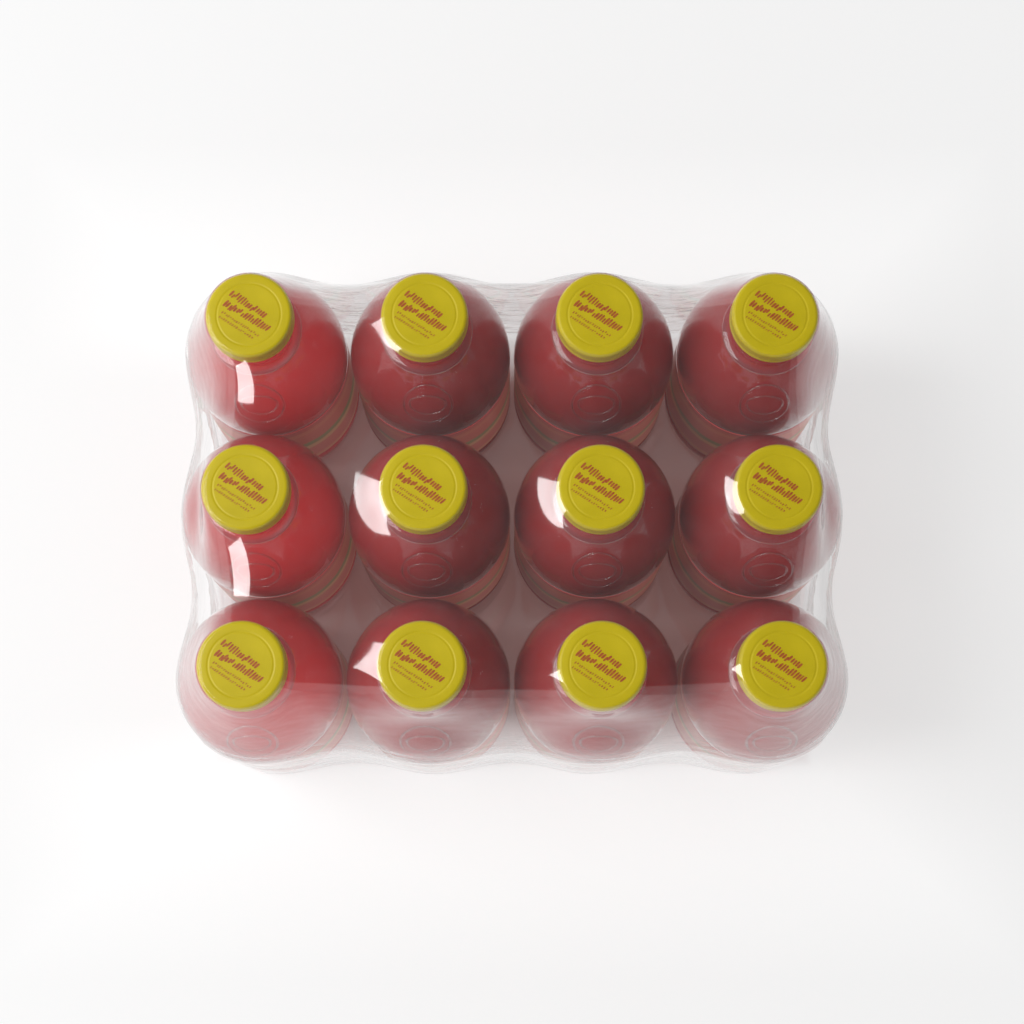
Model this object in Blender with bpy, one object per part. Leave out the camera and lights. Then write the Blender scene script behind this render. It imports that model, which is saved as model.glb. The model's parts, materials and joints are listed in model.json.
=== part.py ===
"""Shrink-wrapped pack of twelve filled round bottles, four columns by three rows, with twist-off caps.

Metres, +Z up. The origin is the middle of the pack's base, X runs along the four columns and
-Y is the front. Each bottle is a clear shell with the drink inside it, a label round it and
a cap on it. One film sleeve holds them all, with an oval opening in each short end.
"""

import math

import bmesh
import bpy

COLUMNS = 4
ROWS = 3
PITCH = 0.077
HALF_PITCH = PITCH / 2

# Round pieces have SIDES corners, one of them along each axis and each diagonal, where four
# bottles meet. Hidden inner walls have half as many.
SIDES = 16
INNER_SIDES = SIDES // 2

GAP = 0.00035
FILM = 0.0004
BOTTLE_BASE = 0.0008

# Bottle, with heights above its own base
BODY_RADIUS = 0.0377
PANEL_RADIUS = 0.0367
FOOT_RADIUS = 0.0335
FOOT_HEIGHT = 0.005
PANEL_LOW = 0.012
PANEL_HIGH = 0.0825
PANEL_STEP = 0.002
LABEL_LOW = PANEL_LOW + 0.0035
LABEL_HIGH = PANEL_HIGH - 0.0015
LABEL = 0.0004
DOME_BASE = 0.088
DOME_RISE = 0.0519
DOME_TOP_ANGLE = math.radians(60)
DOME_BANDS = 3
BEAD_RADIUS = 0.0208
BEAD_HEIGHT = 0.1346
NECK_RADIUS = 0.0166
NECK_BASE = 0.1365
MOUTH_HEIGHT = 0.1605

WALL = 0.0026
FLOOR = 0.0035
DRINK_LEVEL = 0.139

# Cap, with heights above the bottle's base
CAP_RADIUS = 0.0193
CAP_SHOULDER_RADIUS = 0.0190
CAP_FACE_RADIUS = 0.0172
CAP_BASE = 0.152
CAP_TOP = 0.162
CAP_SHOULDER = 0.001
CAP_BORE = NECK_RADIUS + 0.0004
CAP_INSIDE_TOP = MOUTH_HEIGHT + 0.0004

# Film's inner face, in world heights. It leaves the caps' rims in straight lines that touch
# the domes at the edge level, and sinks in between the bottles, more so along the outer rows.
FILM_RIM_RADIUS = CAP_RADIUS + GAP
FILM_TOP = BOTTLE_BASE + CAP_TOP + GAP
EDGE_LEVEL = BOTTLE_BASE + 0.107
EDGE_RADIUS = 0.0356
SHOULDER_LEVEL = BOTTLE_BASE + DOME_BASE
SHOULDER_RADIUS = BODY_RADIUS + GAP
LOW_LEVEL = BOTTLE_BASE + FOOT_HEIGHT
BASE_RADIUS = FOOT_RADIUS + 0.0012
SAG = 0.0045
OUTER_SAG = 0.006
DIP = 0.0055
CREST_POWER = 4

# Oval opening in each short end of the film
OPENING_HALF_WIDTH = 0.060
OPENING_HALF_HEIGHT = 0.027
OPENING_CENTRE = 0.050
OPENING_CORNERS = 32


def clear_scene():
    for old in list(bpy.data.objects):
        bpy.data.objects.remove(old, do_unlink=True)


def material(name, colour, roughness, metallic=0.0, alpha=1.0):
    made = bpy.data.materials.new(name)
    made.use_nodes = True
    shader = made.node_tree.nodes["Principled BSDF"]
    shader.inputs["Base Color"].default_value = (*colour, 1.0)
    shader.inputs["Roughness"].default_value = roughness
    shader.inputs["Metallic"].default_value = metallic
    shader.inputs["Alpha"].default_value = alpha
    return made


def mesh_from(shape, name, finish):
    """A Blender mesh of this bmesh, shaded smooth but for its sharper edges."""
    bmesh.ops.recalc_face_normals(shape, faces=shape.faces)
    mesh = bpy.data.meshes.new(name)
    shape.to_mesh(mesh)
    shape.free()
    mesh.materials.append(finish)
    mesh.shade_smooth()
    mesh.set_sharp_from_angle(angle=math.radians(32))
    return mesh


def place(name, mesh, location=(0.0, 0.0, 0.0)):
    made = bpy.data.objects.new(name, mesh)
    made.location = location
    bpy.context.scene.collection.objects.link(made)
    return made


def ring(shape, radius, height, sides):
    """Corners of a level polygon round the Z axis."""
    step = 2 * math.pi / sides
    return [
        shape.verts.new(
            (
                radius * math.cos(k * step),
                radius * math.sin(k * step),
                height,
            )
        )
        for k in range(sides)
    ]


def skin(shape, profile, sides):
    """Rings along a profile of (radius, height), joined by quads. Returns the rings."""
    rings = [ring(shape, radius, height, sides) for radius, height in profile]
    for lower, upper in zip(rings, rings[1:]):
        for k in range(sides):
            after = (k + 1) % sides
            shape.faces.new((lower[k], lower[after], upper[after], upper[k]))
    return rings


def join_rings(shape, coarse, fine):
    """Triangles between a ring and one with twice its corners, whose first corners line up."""
    count = len(coarse)
    for k in range(count):
        middle = fine[2 * k + 1]
        after = (k + 1) % count
        shape.faces.new((coarse[k], fine[2 * k], middle))
        shape.faces.new((coarse[k], middle, coarse[after]))
        shape.faces.new((coarse[after], middle, fine[2 * after]))


def dome_point(angle, inset=0.0):
    """A point of the shoulder's elliptic dome, moved in by inset."""
    return (
        (BODY_RADIUS - inset) * math.cos(angle),
        DOME_BASE + (DOME_RISE - inset) * math.sin(angle),
    )


def bottle_profile():
    dome = [
        dome_point(DOME_TOP_ANGLE * k / DOME_BANDS) for k in range(1, DOME_BANDS + 1)
    ]
    return [
        (FOOT_RADIUS, 0.0),
        (BODY_RADIUS, FOOT_HEIGHT),
        (BODY_RADIUS, PANEL_LOW),
        (PANEL_RADIUS, PANEL_LOW + PANEL_STEP),
        (PANEL_RADIUS, PANEL_HIGH),
        (BODY_RADIUS, PANEL_HIGH + PANEL_STEP),
        *dome,
        (BEAD_RADIUS, BEAD_HEIGHT),
        (NECK_RADIUS, NECK_BASE),
        (NECK_RADIUS, MOUTH_HEIGHT),
    ]


def inner_profile(clearance, top):
    """The hollow of the bottle from its floor to a given height, shrunk by a clearance."""
    wide = PANEL_RADIUS - WALL - clearance
    narrow = NECK_RADIUS - WALL - clearance
    middle_radius, middle_height = dome_point(0.55 * DOME_TOP_ANGLE, WALL)
    return [
        (wide, FLOOR + clearance),
        (wide, DOME_BASE),
        (middle_radius - clearance, middle_height - clearance),
        (narrow, NECK_BASE - clearance),
        (narrow, top),
    ]


def bottle_mesh(finish):
    """A shell: outer skin, inner skin and a flat rim that joins them at the mouth."""
    shape = bmesh.new()
    outer = skin(shape, bottle_profile(), SIDES)
    inner = skin(shape, inner_profile(0.0, MOUTH_HEIGHT), INNER_SIDES)
    shape.faces.new(outer[0])
    shape.faces.new(inner[0])
    join_rings(shape, inner[-1], outer[-1])
    return mesh_from(shape, "bottle", finish)


def drink_mesh(finish):
    shape = bmesh.new()
    rings = skin(shape, inner_profile(GAP, DRINK_LEVEL), INNER_SIDES)
    shape.faces.new(rings[0])
    shape.faces.new(rings[-1])
    return mesh_from(shape, "drink", finish)


def label_mesh(finish):
    """A thin sleeve round the bottle's recessed panel."""
    shape = bmesh.new()
    inner_radius = PANEL_RADIUS + GAP
    profile = [
        (inner_radius, LABEL_LOW),
        (inner_radius + LABEL, LABEL_LOW),
        (inner_radius + LABEL, LABEL_HIGH),
        (inner_radius, LABEL_HIGH),
    ]
    rings = skin(shape, profile, SIDES)
    for k in range(SIDES):
        after = (k + 1) % SIDES
        shape.faces.new((rings[-1][k], rings[-1][after], rings[0][after], rings[0][k]))
    return mesh_from(shape, "label", finish)


def cap_mesh(finish):
    """A shallow cup upside down: face, shoulder, skirt and the bore that the neck sits in."""
    shape = bmesh.new()
    profile = [
        (CAP_FACE_RADIUS, CAP_TOP),
        (CAP_SHOULDER_RADIUS, CAP_TOP - CAP_SHOULDER),
        (CAP_RADIUS, CAP_BASE),
        (CAP_BORE, CAP_BASE),
        (CAP_BORE, CAP_INSIDE_TOP),
    ]
    rings = skin(shape, profile, SIDES)
    shape.faces.new(rings[0])
    shape.faces.new(rings[-1])
    return mesh_from(shape, "cap", finish)


def swell(across):
    """0 on a bottle's axis and 1 midway between two bottles."""
    return (1 - math.cos(2 * math.pi * across / PITCH)) / 2


def outline(across, radius):
    """How far the film stands out from a side's line of bottle axes."""
    return radius - DIP * swell(across)


def slope(across, outward):
    """Height of the film over the outer half of a bottle at the pack's side."""
    top = FILM_TOP - (SAG + OUTER_SAG) * swell(across)
    share = outward / outline(across, EDGE_RADIUS)
    rim_share = FILM_RIM_RADIUS / EDGE_RADIUS
    straight = max(0.0, (share - rim_share) / (1 - rim_share))
    curved = share**CREST_POWER
    fall = straight + (curved - straight) * swell(across)
    return top - (top - EDGE_LEVEL) * fall


class Cell:
    """The square of film round one bottle. Its rays leave the bottle's axis at the corners' angles."""

    def __init__(self, column, row):
        self.x = (column - (COLUMNS - 1) / 2) * PITCH
        self.y = (row - (ROWS - 1) / 2) * PITCH
        self.ends = {
            "x": {-1: column == 0, 1: column == COLUMNS - 1},
            "y": {-1: row == 0, 1: row == ROWS - 1},
        }

    def sides_out(self, cosine, sine):
        """Whether this direction leaves the pack along X, and along Y."""
        return (
            self.ends["x"][1 if cosine > 0 else -1],
            self.ends["y"][1 if sine > 0 else -1],
        )

    def crest(self, x, y):
        """Height of the film between the caps, with x and y from this cell's axis."""
        fall = SAG * (swell(x) + swell(y))
        if any(self.ends["x"].values()):
            fall += OUTER_SAG * swell(y) * (1 - swell(x))
        if any(self.ends["y"].values()):
            fall += OUTER_SAG * swell(x) * (1 - swell(y))
        return FILM_TOP - fall

    def on_outline(self, cosine, sine):
        """Whether a ray in this direction ends on the pack's outline."""
        out_x, out_y = self.sides_out(cosine, sine)
        tie = 1e-6
        if out_x and out_y:
            return True
        if out_x:
            return abs(cosine) > abs(sine) - tie
        return out_y and abs(sine) > abs(cosine) - tie

    def outline_point(self, cosine, sine, radius, height):
        """Where a ray meets the outline whose bulges have this radius."""
        out_x, out_y = self.sides_out(cosine, sine)
        reach = HALF_PITCH / max(abs(cosine), abs(sine))
        if out_x and out_y:
            x, y = radius * cosine, radius * sine
        elif out_x:
            y = reach * sine
            x = math.copysign(outline(y, radius), cosine)
        else:
            x = reach * cosine
            y = math.copysign(outline(x, radius), sine)
        return (self.x + x, self.y + y, height)

    def edge_point(self, cosine, sine):
        """Where a ray ends: on the outline, or on the line it shares with the next cell."""
        if self.on_outline(cosine, sine):
            return self.outline_point(cosine, sine, EDGE_RADIUS, EDGE_LEVEL)
        reach = HALF_PITCH / max(abs(cosine), abs(sine))
        return self.over(self.x + reach * cosine, self.y + reach * sine)

    def over(self, x, y):
        """The film's point straight above (x, y) inside this cell."""
        local_x, local_y = x - self.x, y - self.y
        out_x, out_y = self.sides_out(local_x, local_y)
        if out_x and out_y:
            height = slope(0.0, math.hypot(local_x, local_y))
        elif out_x:
            height = slope(local_y, abs(local_x))
        elif out_y:
            height = slope(local_x, abs(local_y))
        else:
            height = self.crest(local_x, local_y)
        return (x, y, height)

    def rim_point(self, cosine, sine):
        return (
            self.x + FILM_RIM_RADIUS * cosine,
            self.y + FILM_RIM_RADIUS * sine,
            FILM_TOP,
        )


def add_cell(shape, cell):
    """The film over one bottle, and down the pack's side where that bottle stands at one."""
    columns = []
    for k in range(SIDES):
        angle = k * 2 * math.pi / SIDES
        cosine, sine = math.cos(angle), math.sin(angle)
        rim = cell.rim_point(cosine, sine)
        edge = cell.edge_point(cosine, sine)
        middle = cell.over((rim[0] + edge[0]) / 2, (rim[1] + edge[1]) / 2)
        points = [rim, middle, edge]
        if cell.on_outline(cosine, sine):
            points += [
                cell.outline_point(cosine, sine, SHOULDER_RADIUS, SHOULDER_LEVEL),
                cell.outline_point(cosine, sine, SHOULDER_RADIUS, LOW_LEVEL),
                cell.outline_point(cosine, sine, BASE_RADIUS, FILM),
            ]
        columns.append([shape.verts.new(point) for point in points])
    shape.faces.new([points[0] for points in columns])
    for k, here in enumerate(columns):
        after = columns[(k + 1) % SIDES]
        for low in range(1, min(len(here), len(after))):
            shape.faces.new((here[low - 1], here[low], after[low], after[low - 1]))


def film_mesh(finish):
    """The film's inner face: a closed bag round all twelve bottles, without its thickness."""
    shape = bmesh.new()
    for row in range(ROWS):
        for column in range(COLUMNS):
            add_cell(shape, Cell(column, row))
    bmesh.ops.remove_doubles(shape, verts=shape.verts, dist=1e-5)
    base = [edge for edge in shape.edges if edge.is_boundary]
    bmesh.ops.contextual_create(shape, geom=base)
    bmesh.ops.triangulate(shape, faces=shape.faces)
    return mesh_from(shape, "film_wrap", finish)


def opening_cutter():
    """An oval bar along X that cuts the opening in both short ends of the film."""
    shape = bmesh.new()
    half_length = COLUMNS * PITCH
    rings = []
    for x in (-half_length, half_length):
        rings.append(
            [
                shape.verts.new(
                    (
                        x,
                        OPENING_HALF_WIDTH * math.cos(2 * math.pi * k / OPENING_CORNERS),
                        OPENING_CENTRE
                        + OPENING_HALF_HEIGHT
                        * math.sin(2 * math.pi * k / OPENING_CORNERS),
                    )
                )
                for k in range(OPENING_CORNERS)
            ]
        )
    near, far = rings
    shape.faces.new(near)
    shape.faces.new(far)
    for k in range(OPENING_CORNERS):
        after = (k + 1) % OPENING_CORNERS
        shape.faces.new((near[k], near[after], far[after], far[k]))
    bmesh.ops.recalc_face_normals(shape, faces=shape.faces)
    mesh = bpy.data.meshes.new("opening_cutter")
    shape.to_mesh(mesh)
    shape.free()
    cutter = place("opening_cutter", mesh)
    cutter.hide_render = True
    cutter.display_type = "WIRE"
    return cutter


def make_film(finish):
    film = place("film_wrap", film_mesh(finish))
    thickness = film.modifiers.new("thickness", "SOLIDIFY")
    thickness.thickness = FILM
    thickness.offset = 1.0
    thickness.use_even_offset = True
    cut = film.modifiers.new("end_openings", "BOOLEAN")
    cut.object = opening_cutter()
    cut.operation = "DIFFERENCE"
    cut.solver = "EXACT"


def make_bottles():
    clear = material("bottle_clear", (0.93, 0.94, 0.94), 0.05, alpha=0.35)
    juice = material("red_drink", (0.62, 0.05, 0.06), 0.15)
    print_brown = material("label_print", (0.33, 0.22, 0.19), 0.4)
    yellow = material("cap_yellow", (0.86, 0.72, 0.03), 0.35)
    meshes = {
        "bottle": bottle_mesh(clear),
        "drink": drink_mesh(juice),
        "label": label_mesh(print_brown),
        "cap": cap_mesh(yellow),
    }
    for row in range(ROWS):
        for column in range(COLUMNS):
            cell = Cell(column, row)
            for kind, mesh in meshes.items():
                name = f"{kind}_{row + 1}_{column + 1}"
                place(name, mesh, (cell.x, cell.y, BOTTLE_BASE))


def main():
    clear_scene()
    make_bottles()
    make_film(material("clear_film", (0.92, 0.93, 0.93), 0.12, alpha=0.3))


main()
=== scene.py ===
"""Looks of the shrink-wrapped pack of drink bottles: bottles, drink, labels, caps and film.

Metres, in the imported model's frame. The caps, labels, drink and bottles are turned shapes. The
film is one membrane, solved over the caps and carried down the pack's sides.
"""

import json
import math

import bmesh
import bpy
import numpy as np
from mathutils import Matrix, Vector

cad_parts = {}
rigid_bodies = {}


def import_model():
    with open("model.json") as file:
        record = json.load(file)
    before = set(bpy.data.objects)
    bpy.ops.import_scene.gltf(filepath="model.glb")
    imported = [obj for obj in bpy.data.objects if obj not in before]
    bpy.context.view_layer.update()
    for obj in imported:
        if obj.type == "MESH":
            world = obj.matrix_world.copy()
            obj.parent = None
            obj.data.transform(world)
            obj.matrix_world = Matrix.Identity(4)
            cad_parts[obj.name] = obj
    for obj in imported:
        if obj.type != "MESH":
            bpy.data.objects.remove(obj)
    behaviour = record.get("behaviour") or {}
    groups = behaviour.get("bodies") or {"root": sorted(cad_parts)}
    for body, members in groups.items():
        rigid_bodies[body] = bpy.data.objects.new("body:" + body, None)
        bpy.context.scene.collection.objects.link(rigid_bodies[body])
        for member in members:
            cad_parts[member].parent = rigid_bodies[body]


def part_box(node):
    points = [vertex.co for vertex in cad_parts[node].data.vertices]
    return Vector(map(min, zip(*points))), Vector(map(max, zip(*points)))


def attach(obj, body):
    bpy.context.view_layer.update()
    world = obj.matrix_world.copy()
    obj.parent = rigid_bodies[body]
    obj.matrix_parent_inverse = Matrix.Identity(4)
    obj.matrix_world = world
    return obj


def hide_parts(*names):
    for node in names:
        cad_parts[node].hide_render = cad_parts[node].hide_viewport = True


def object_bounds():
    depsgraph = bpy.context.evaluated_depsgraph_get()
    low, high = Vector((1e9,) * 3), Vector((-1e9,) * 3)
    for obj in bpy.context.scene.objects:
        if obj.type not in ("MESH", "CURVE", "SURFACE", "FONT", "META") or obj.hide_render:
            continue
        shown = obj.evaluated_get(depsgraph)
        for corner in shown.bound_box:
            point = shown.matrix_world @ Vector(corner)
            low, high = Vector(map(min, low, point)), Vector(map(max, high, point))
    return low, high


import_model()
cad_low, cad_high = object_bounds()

COLUMNS = 4
ROWS = 3
PLACES = [(row, column) for row in range(1, ROWS + 1) for column in range(1, COLUMNS + 1)]

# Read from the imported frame
BOTTLE_LOW, BOTTLE_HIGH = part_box("bottle_1_1")
CAP_LOW, CAP_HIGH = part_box("cap_1_1")
LABEL_LOW, LABEL_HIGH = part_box("label_1_1")
DRINK_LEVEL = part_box("drink_1_1")[1].z
FLOOR_GAP = BOTTLE_LOW.z
BODY_RADIUS = (BOTTLE_HIGH.x - BOTTLE_LOW.x) / 2
CAP_RADIUS = (CAP_HIGH.x - CAP_LOW.x) / 2
MOUTH_HEIGHT = BOTTLE_HIGH.z
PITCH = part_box("bottle_1_2")[0].x - BOTTLE_LOW.x
HALF_PITCH = PITCH / 2

# Bottle, with heights above the floor
PANEL_RADIUS = BODY_RADIUS - 0.0010
PANEL_LOW = FLOOR_GAP + 0.0125
PANEL_HIGH = FLOOR_GAP + 0.0835
DOME_BASE = FLOOR_GAP + 0.088
DOME_RISE = 0.0519
DOME_TOP_ANGLE = math.radians(60)
DOME_STEPS = 16
BEAD_RADIUS = 0.0208
BEAD_HEIGHT = FLOOR_GAP + 0.1346
NECK_RADIUS = 0.0166
WALL = 0.0006
SEATING = 0.0003

# Raised ovals on the shoulder: angles round the axis and up the dome, in radians
OVAL_SCALES = ((1.0, 1.0), (0.74, 0.48))
OVAL_HALF_TURN = math.radians(21)
OVAL_MIDDLE = math.radians(35)
OVAL_HALF_RISE = math.radians(16)
OVAL_LINE = 0.055
OVAL_RELIEF = 0.00022
OVAL_SINK = -0.0001

LATHE_SIDES = 64
SHARP_ANGLE = math.radians(40)

# Label: its bands from the foot up, as start and end shares of its height and the colours there
LABEL_THICKNESS = 0.0004
LABEL_DRIFT = 0.012
LABEL_BANDS = [
    (0.00, 0.09, (0.40, 0.045, 0.040), (0.42, 0.050, 0.045)),
    (0.10, 0.15, (0.54, 0.20, 0.09), (0.54, 0.18, 0.08)),
    (0.16, 0.38, (0.48, 0.085, 0.060), (0.50, 0.100, 0.070)),
    (0.40, 0.46, (0.54, 0.28, 0.12), (0.50, 0.24, 0.10)),
    (0.47, 0.54, (0.19, 0.17, 0.055), (0.22, 0.19, 0.060)),
    (0.55, 0.76, (0.48, 0.090, 0.060), (0.50, 0.100, 0.065)),
    (0.78, 0.84, (0.52, 0.15, 0.08), (0.50, 0.12, 0.07)),
    (0.86, 0.96, (0.44, 0.070, 0.055), (0.52, 0.060, 0.060)),
]

# Cap: the radius of its rounded edge, and how far out and how high that edge's centre is
CAP_EDGE = 0.0019
CAP_EDGE_STEPS = 7
CAP_EDGE_REACH = CAP_RADIUS - 0.0002 - CAP_EDGE
CAP_EDGE_HEIGHT = CAP_HIGH.z - CAP_EDGE
CAP_RIBS = 96
RIB_DEPTH = 0.00022
GROOVE_RADIUS = 0.73 * CAP_RADIUS
GROOVE_DEPTH = 0.00018
CAP_WALL = 0.0016

# Generic print on the caps: rows of small shapes, turned so that they fall to the right
PRINT_TURN = math.radians(-32)
PRINT_RISE = 0.00006
PRINT_SEED = 5
# Each row: its start and end, half its shapes' height and width, and the way between shapes
PRINT_ROWS = [
    ((-0.0122, 0.0044), (0.0068, 0.0030), 0.0021, 0.00050, 0.00128),
    ((-0.0120, -0.0012), (0.0114, -0.0008), 0.0021, 0.00050, 0.00128),
    ((-0.0108, -0.0053), (0.0092, -0.0057), 0.0008, 0.00024, 0.00112),
    ((-0.0108, -0.0075), (0.0076, -0.0080), 0.0007, 0.00024, 0.00112),
]

# Film
FILM_THICKNESS = 0.00016
FILM_GAP = 0.00035
FILM_TOP = CAP_HIGH.z + FILM_GAP
BEND_RADIUS = CAP_EDGE + FILM_GAP

# Film's outline, which dips in between two outer bottles, less so at the shoulders, and rises
OUTLINE_HEIGHT = FLOOR_GAP + 0.107
OUTLINE_RADIUS = 0.0356
DIP_HIGH = 0.0070
DIP_LOW = 0.0055
LIFT = 0.003
FOOT_HEIGHT = FLOOR_GAP + 0.006
FOOT_RADIUS = 0.0347
SHOULDER_ROWS = 14
SIDE_ROWS = 26
FOOT_ROWS = 5

# Film's lines from each cap's middle: their number, and their points on the cap, round its edge
# and over the free stretch
RAYS = 96
HUB_SHARES = (0.45, 0.8, 1.0)
BEND_STEPS = 3
FREE_STEPS = 12
FREE_GROWTH = 1.25

# Film's balance: its pull downwards and the ridges between the outer caps, against a tension of 1
FILM_PULL = 12.0
RIDGE_TENSION = 3.0
RIDGE_WIDTH = 0.020
SETTLING_ROUNDS = 7
FIRST_LEAN = 0.4
LEAST_LEAN, MOST_LEAN = 0.02, 1.4
SLIVER = 1e-11
SOLVER_STEPS = 500
SOLVED = 1e-17

# Film's wrinkles: fine streaks along the outline, folds below it and gathers at the openings
SIDE_X, SIDE_Y = 0.154, 0.115
STREAK_HEIGHT = 0.102
STREAK_BAND = 0.008
STREAK_SLANT = 0.10
STREAK_RELIEF = 0.00017
FOLD_SLANT = 0.35
FOLD_RELIEF = 0.00035
GATHER_SPOKES = 34
GATHER_REACH = 0.35
GATHER_RELIEF = 0.0005
MOST_RELIEF = 0.0008

OPENING_HALF_WIDTH = 0.060
OPENING_HALF_HEIGHT = 0.027
OPENING_CENTRE = 0.050
OPENING_STARTS = 0.142
CUTTER_REACH = 0.25

# Room
FLOOR_HALF = 40.0
LAMP_TARGET = Vector((0, 0, 0.08))
CAMERA_PLACE = (0.0, -0.169, 1.05)
CAMERA_TILT = math.radians(10.1)
CAMERA_LENS = 73.5


def centre_of(row, column):
    low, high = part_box(f"bottle_{row}_{column}")
    return Vector(((low.x + high.x) / 2, (low.y + high.y) / 2, 0.0))


def add_piece(name, mesh, slot, *nodes, location=(0.0, 0.0, 0.0)):
    """Puts a mesh in the scene as a piece that rides with the pack and stands for CAD nodes."""
    piece = bpy.data.objects.new(name, mesh)
    piece.location = location
    bpy.context.scene.collection.objects.link(piece)
    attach(piece, "root")
    if nodes:
        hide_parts(*nodes)
    return piece


# Materials


def grey(value):
    return (value, value, value)


class Nodes:
    """Short calls for building a material's node tree."""

    def __init__(self, name):
        self.material = bpy.data.materials.new(name)
        self.material.use_nodes = True
        self.tree = self.material.node_tree
        self.tree.nodes.clear()
        self.output = self.tree.nodes.new("ShaderNodeOutputMaterial")

    def add(self, kind, **inputs):
        """Adds a node and feeds the inputs that are named, with _ for each space."""
        node = self.tree.nodes.new(kind)
        for key, value in inputs.items():
            self.feed(node, key.replace("_", " "), value)
        return node

    def feed(self, node, key, value):
        """Links a socket to an input, or sets the input to a constant."""
        socket = node.inputs[int(key)] if key.isdigit() else node.inputs[key]
        if isinstance(value, bpy.types.NodeSocket):
            self.tree.links.new(value, socket)
        else:
            socket.default_value = value

    def maths(self, operation, *values):
        node = self.tree.nodes.new("ShaderNodeMath")
        node.operation = operation
        for index, value in enumerate(values):
            self.feed(node, str(index), value)
        return node.outputs[0]

    def coordinates(self):
        return self.add("ShaderNodeTexCoord").outputs["Object"]

    def facing(self):
        """0 where a face is seen straight on and 1 where it is seen from its edge."""
        return self.add("ShaderNodeLayerWeight", Blend=0.5).outputs["Facing"]

    def noise(self, vector, scale, detail, roughness=0.5):
        node = self.add(
            "ShaderNodeTexNoise",
            Vector=vector,
            Scale=scale,
            Detail=detail,
            Roughness=roughness,
        )
        return node.outputs["Fac"]

    def stretched(self, vector, scale):
        node = self.add("ShaderNodeMapping", Vector=vector, Scale=scale)
        return node.outputs[0]

    def ramp(self, factor, stops):
        """A colour ramp through (position, colour) stops."""
        node = self.add("ShaderNodeValToRGB", Fac=factor)
        elements = node.color_ramp.elements
        while len(elements) < len(stops):
            elements.new(0.5)
        for element, (position, colour) in zip(elements, stops):
            element.position = position
            element.color = (*colour, 1.0)
        return node.outputs["Color"]

    def remap(self, value, low, high, to_low, to_high):
        node = self.add("ShaderNodeMapRange", Value=value)
        node.inputs["From Min"].default_value = low
        node.inputs["From Max"].default_value = high
        node.inputs["To Min"].default_value = to_low
        node.inputs["To Max"].default_value = to_high
        return node.outputs[0]

    def bump(self, height, distance, strength):
        node = self.add("ShaderNodeBump", Height=height)
        node.inputs["Distance"].default_value = distance
        node.inputs["Strength"].default_value = strength
        return node.outputs[0]

    def mix_shaders(self, factor, first, second):
        node = self.add("ShaderNodeMixShader")
        self.feed(node, "0", factor)
        self.tree.links.new(first, node.inputs[1])
        self.tree.links.new(second, node.inputs[2])
        return node.outputs[0]

    def finish(self, shader):
        self.tree.links.new(shader, self.output.inputs["Surface"])
        return self.material


def sheen_share(nodes, face_on):
    """Share of light that a clear face mirrors: little when seen straight on, all at a graze."""
    graze = nodes.maths("POWER", nodes.facing(), 5.0)
    return nodes.maths("MULTIPLY_ADD", graze, 1.0 - face_on, face_on)


def clear_bottle():
    """Clear, with a faint haze that is stronger on the ring at the foot of the neck."""
    nodes = Nodes("bottle clear")
    where = nodes.coordinates()
    tiny = nodes.noise(where, 60.0, 0.0)
    see = nodes.add("ShaderNodeBsdfTransparent", Color=(0.97, 0.975, 0.975, 1.0))
    pale = nodes.ramp(tiny, [(0.3, (0.86, 0.87, 0.88)), (0.7, grey(0.93))])
    body = nodes.add("ShaderNodeBsdfDiffuse", Color=pale)
    mirror = nodes.add("ShaderNodeBsdfGlossy", Color=(1, 1, 1, 1), Roughness=0.03)
    height = nodes.add("ShaderNodeSeparateXYZ", Vector=where).outputs["Z"]
    rising = nodes.remap(height, BEAD_HEIGHT - 0.0012, BEAD_HEIGHT - 0.0002, 0.02, 0.22)
    falling = nodes.remap(height, BEAD_HEIGHT + 0.0004, BEAD_HEIGHT + 0.0010, 1.0, 0.09)
    haze = nodes.maths("MULTIPLY", rising, falling)
    hazed = nodes.mix_shaders(haze, see.outputs[0], body.outputs[0])
    return nodes.finish(nodes.mix_shaders(sheen_share(nodes, 0.045), hazed, mirror.outputs[0]))


def red_drink():
    nodes = Nodes("red drink")
    where = nodes.coordinates()
    cloud = nodes.noise(nodes.stretched(where, (1.0, 1.0, 0.6)), 22.0, 3.0)
    colour = nodes.ramp(
        cloud, [(0.25, (0.42, 0.012, 0.016)), (0.75, (0.50, 0.018, 0.022))]
    )
    drink = nodes.add(
        "ShaderNodeBsdfPrincipled",
        Base_Color=colour,
        Roughness=nodes.remap(cloud, 0.2, 0.8, 0.30, 0.40),
    )
    drink.inputs["Specular IOR Level"].default_value = 0.25
    drink.inputs["Subsurface Weight"].default_value = 1.0
    drink.inputs["Subsurface Radius"].default_value = (1.0, 0.10, 0.11)
    drink.inputs["Subsurface Scale"].default_value = 0.10
    return nodes.finish(drink.outputs[0])


def yellow_cap():
    nodes = Nodes("cap yellow")
    where = nodes.coordinates()
    mottle = nodes.noise(where, 90.0, 4.0)
    grain = nodes.noise(where, 1400.0, 2.0)
    colour = nodes.ramp(
        mottle, [(0.3, (0.63, 0.50, 0.002)), (0.7, (0.69, 0.545, 0.003))]
    )
    cap = nodes.add(
        "ShaderNodeBsdfPrincipled",
        Base_Color=colour,
        Roughness=nodes.remap(mottle, 0.3, 0.7, 0.36, 0.44),
        Normal=nodes.bump(grain, 0.00004, 0.35),
    )
    cap.inputs["Specular IOR Level"].default_value = 0.36
    return nodes.finish(cap.outputs[0])


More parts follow.
